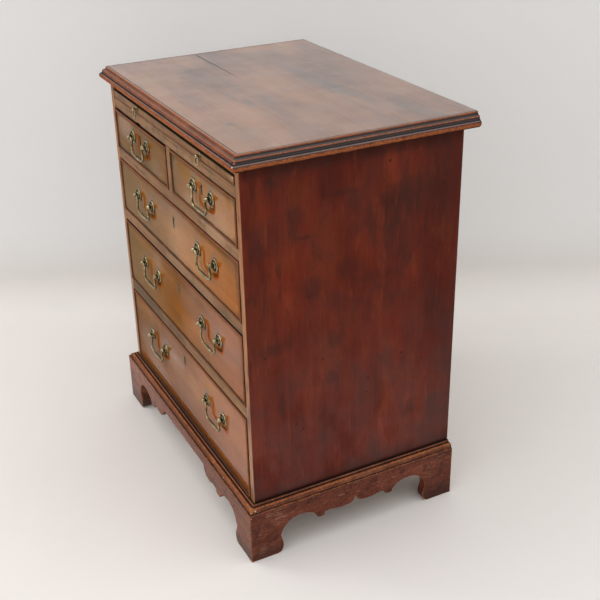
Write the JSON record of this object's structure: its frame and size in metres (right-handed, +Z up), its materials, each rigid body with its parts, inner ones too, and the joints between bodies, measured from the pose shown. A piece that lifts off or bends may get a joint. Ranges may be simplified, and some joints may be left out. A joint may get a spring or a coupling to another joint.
{
  "type": "bachelor's chest",
  "caption": "Small chest of graduated drawers with a pull-out brushing slide, swan-neck bail handles, a moulded top and a shaped bracket plinth.",
  "frame": {"origin": "bottom centre of the bounding box, on the floor", "axes": "+Z up, front faces -Y, +X to the right of someone looking along +Y at the front"},
  "size_m": [0.666, 0.4626, 0.78],
  "materials": {
    "mahogany_top": "french polished, sun faded",
    "mahogany_sides": "french polished, deep red",
    "mahogany_fronts": "french polished",
    "mahogany_rails": "french polished",
    "mahogany_plinth": "polished, worn edges",
    "cock_bead": "polished, worn",
    "slide_mahogany": "polished",
    "drawer_oak": "unpolished, aged",
    "carcass_pine": "unpolished, aged",
    "back_pine": "unpolished, dusty",
    "brass": "aged, hand polished",
    "lock_iron": "aged"
  },
  "bodies": {
    "carcass": {"top": "mahogany_top", "side_left": "mahogany_sides", "side_right": "mahogany_sides", "inner_rails_boards_and_blocks": "carcass_pine", "back_boards": "back_pine", "slide_rail": "mahogany_rails", "drawer_rails": "mahogany_rails", "centre_divider": "mahogany_rails", "base_moulding": "mahogany_plinth", "plinth_front": "mahogany_plinth", "plinth_left": "mahogany_plinth", "plinth_right": "mahogany_plinth", "rear_foot_brackets": "carcass_pine"},
    "short_left_drawer": {"short_left_front": "mahogany_fronts", "short_left_cock_beads": "cock_bead", "short_left_box": "drawer_oak", "short_left_fittings": "brass", "short_left_escutcheon": "brass", "short_left_lock": "lock_iron"},
    "short_left_bolt": {"short_left_lock_bolt": "lock_iron"},
    "short_left_bail": {"short_left_bail": "brass"},
    "short_right_drawer": {"short_right_front": "mahogany_fronts", "short_right_cock_beads": "cock_bead", "short_right_box": "drawer_oak", "short_right_fittings": "brass", "short_right_escutcheon": "brass", "short_right_lock": "lock_iron"},
    "short_right_bolt": {"short_right_lock_bolt": "lock_iron"},
    "short_right_bail": {"short_right_bail": "brass"},
    "long_upper_drawer": {"long_upper_front": "mahogany_fronts", "long_upper_cock_beads": "cock_bead", "long_upper_box": "drawer_oak", "long_upper_fittings": "brass", "long_upper_escutcheon": "brass", "long_upper_lock": "lock_iron"},
    "long_upper_bolt": {"long_upper_lock_bolt": "lock_iron"},
    "long_upper_bail_left": {"long_upper_bail_left": "brass"},
    "long_upper_bail_right": {"long_upper_bail_right": "brass"},
    "long_middle_drawer": {"long_middle_front": "mahogany_fronts", "long_middle_cock_beads": "cock_bead", "long_middle_box": "drawer_oak", "long_middle_fittings": "brass", "long_middle_escutcheon": "brass", "long_middle_lock": "lock_iron"},
    "long_middle_bolt": {"long_middle_lock_bolt": "lock_iron"},
    "long_middle_bail_left": {"long_middle_bail_left": "brass"},
    "long_middle_bail_right": {"long_middle_bail_right": "brass"},
    "long_lower_drawer": {"long_lower_front": "mahogany_fronts", "long_lower_cock_beads": "cock_bead", "long_lower_box": "drawer_oak", "long_lower_fittings": "brass", "long_lower_escutcheon": "brass", "long_lower_lock": "lock_iron"},
    "long_lower_bolt": {"long_lower_lock_bolt": "lock_iron"},
    "long_lower_bail_left": {"long_lower_bail_left": "brass"},
    "long_lower_bail_right": {"long_lower_bail_right": "brass"},
    "brushing_slide": {"slide_board": "slide_mahogany", "slide_pulls": "brass"},
    "ring_left": {"slide_ring_left": "brass"},
    "ring_right": {"slide_ring_right": "brass"}
  },
  "joints": [
    {"name": "short_left_drawer_slide", "type": "slide", "parent": "carcass", "child": "short_left_drawer", "axis": [0, -1, 0], "range_m": [0, 0.29]},
    {"name": "short_left_bolt_throw", "type": "slide", "parent": "short_left_drawer", "child": "short_left_bolt", "axis": [0, 0, 1], "range_m": [0, 0.007]},
    {"name": "short_left_bail_swing", "type": "hinge", "parent": "short_left_drawer", "child": "short_left_bail", "pos_m": [-0.157, -0.22025, 0.6666], "axis": [-1, 0, 0], "range_deg": [-6, 85]},
    {"name": "short_right_drawer_slide", "type": "slide", "parent": "carcass", "child": "short_right_drawer", "axis": [0, -1, 0], "range_m": [0, 0.29]},
    {"name": "short_right_bolt_throw", "type": "slide", "parent": "short_right_drawer", "child": "short_right_bolt", "axis": [0, 0, 1], "range_m": [0, 0.007]},
    {"name": "short_right_bail_swing", "type": "hinge", "parent": "short_right_drawer", "child": "short_right_bail", "pos_m": [0.157, -0.22025, 0.6666], "axis": [-1, 0, 0], "range_deg": [-6, 85]},
    {"name": "long_upper_drawer_slide", "type": "slide", "parent": "carcass", "child": "long_upper_drawer", "axis": [0, -1, 0], "range_m": [0, 0.29]},
    {"name": "long_upper_bolt_throw", "type": "slide", "parent": "long_upper_drawer", "child": "long_upper_bolt", "axis": [0, 0, 1], "range_m": [0, 0.007]},
    {"name": "long_upper_bail_left_swing", "type": "hinge", "parent": "long_upper_drawer", "child": "long_upper_bail_left", "pos_m": [-0.156, -0.22025, 0.545], "axis": [-1, 0, 0], "range_deg": [-6, 85]},
    {"name": "long_upper_bail_right_swing", "type": "hinge", "parent": "long_upper_drawer", "child": "long_upper_bail_right", "pos_m": [0.156, -0.22025, 0.545], "axis": [-1, 0, 0], "range_deg": [-6, 85]},
    {"name": "long_middle_drawer_slide", "type": "slide", "parent": "carcass", "child": "long_middle_drawer", "axis": [0, -1, 0], "range_m": [0, 0.29]},
    {"name": "long_middle_bolt_throw", "type": "slide", "parent": "long_middle_drawer", "child": "long_middle_bolt", "axis": [0, 0, 1], "range_m": [0, 0.007]},
    {"name": "long_middle_bail_left_swing", "type": "hinge", "parent": "long_middle_drawer", "child": "long_middle_bail_left", "pos_m": [-0.153, -0.22025, 0.3958], "axis": [-1, 0, 0], "range_deg": [-6, 85]},
    {"name": "long_middle_bail_right_swing", "type": "hinge", "parent": "long_middle_drawer", "child": "long_middle_bail_right", "pos_m": [0.153, -0.22025, 0.3958], "axis": [-1, 0, 0], "range_deg": [-6, 85]},
    {"name": "long_lower_drawer_slide", "type": "slide", "parent": "carcass", "child": "long_lower_drawer", "axis": [0, -1, 0], "range_m": [0, 0.29]},
    {"name": "long_lower_bolt_throw", "type": "slide", "parent": "long_lower_drawer", "child": "long_lower_bolt", "axis": [0, 0, 1], "range_m": [0, 0.007]},
    {"name": "long_lower_bail_left_swing", "type": "hinge", "parent": "long_lower_drawer", "child": "long_lower_bail_left", "pos_m": [-0.15, -0.22025, 0.226], "axis": [-1, 0, 0], "range_deg": [-6, 85]},
    {"name": "long_lower_bail_right_swing", "type": "hinge", "parent": "long_lower_drawer", "child": "long_lower_bail_right", "pos_m": [0.15, -0.22025, 0.226], "axis": [-1, 0, 0], "range_deg": [-6, 85]},
    {"name": "brushing_slide_pull", "type": "slide", "parent": "carcass", "child": "brushing_slide", "axis": [0, -1, 0], "range_m": [0, 0.25]},
    {"name": "ring_left_swing", "type": "hinge", "parent": "brushing_slide", "child": "ring_left", "pos_m": [-0.158, -0.21895, 0.731], "axis": [-1, 0, 0], "range_deg": [-10, 85]},
    {"name": "ring_right_swing", "type": "hinge", "parent": "brushing_slide", "child": "ring_right", "pos_m": [0.158, -0.21895, 0.731], "axis": [-1, 0, 0], "range_deg": [-10, 85]}
  ]
}
